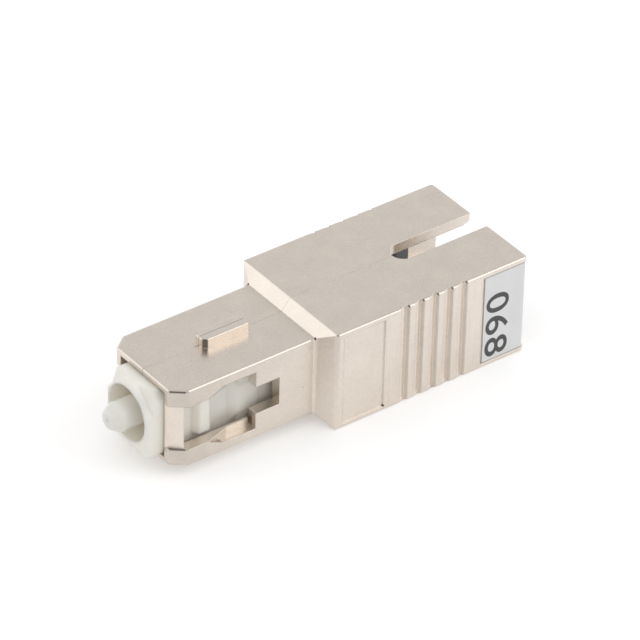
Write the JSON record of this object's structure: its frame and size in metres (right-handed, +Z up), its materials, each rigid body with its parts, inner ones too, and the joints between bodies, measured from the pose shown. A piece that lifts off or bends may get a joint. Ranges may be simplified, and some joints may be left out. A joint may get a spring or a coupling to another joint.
{
  "type": "hybrid fibre adapter",
  "caption": "Metal in-line fibre adapter with a push-pull plug end, a white spring-loaded ferrule nose, ribbed grip sides and a keyed socket end.",
  "frame": {"origin": "bottom face of the socket body, at the middle of the bounding box", "axes": "+X from the ferrule tip to the socket end along the optical axis, -Y to the label side, +Z up to the key side"},
  "size_m": [0.0366, 0.0126, 0.0093],
  "materials": {
    "housing": "satin nickel plate over a zinc casting",
    "label": "smooth white film",
    "frame": "white, slightly translucent",
    "inner_moulding": "white, matt",
    "latch": "dark grey, matt",
    "ceramic": "polished zirconia",
    "flange": "nickel plated",
    "fibre": "clear",
    "spring": "bright drawn wire"
  },
  "bodies": {
    "shell": {"housing_near_half": "housing", "housing_far_half": "housing", "label": "label"},
    "core": {"plug_frame": "frame", "spring_seat": "inner_moulding", "latch_body": "latch", "split_sleeve": "ceramic", "ferrule_spring": "spring"},
    "ferrule_unit": {"ferrule": "ceramic", "ferrule_flange": "flange", "optical_fibre": "fibre"}
  },
  "joints": [
    {"name": "core_slide", "type": "slide", "parent": "shell", "child": "core", "axis": [-1, 0, 0], "range_m": [0, 0.0015]},
    {"name": "ferrule_float", "type": "slide", "parent": "core", "child": "ferrule_unit", "axis": [1, 0, 0], "range_m": [0, 0.0008], "stiffness_N_per_m": 250, "springref_m": -0.002, "deforming": ["ferrule_spring"]}
  ]
}
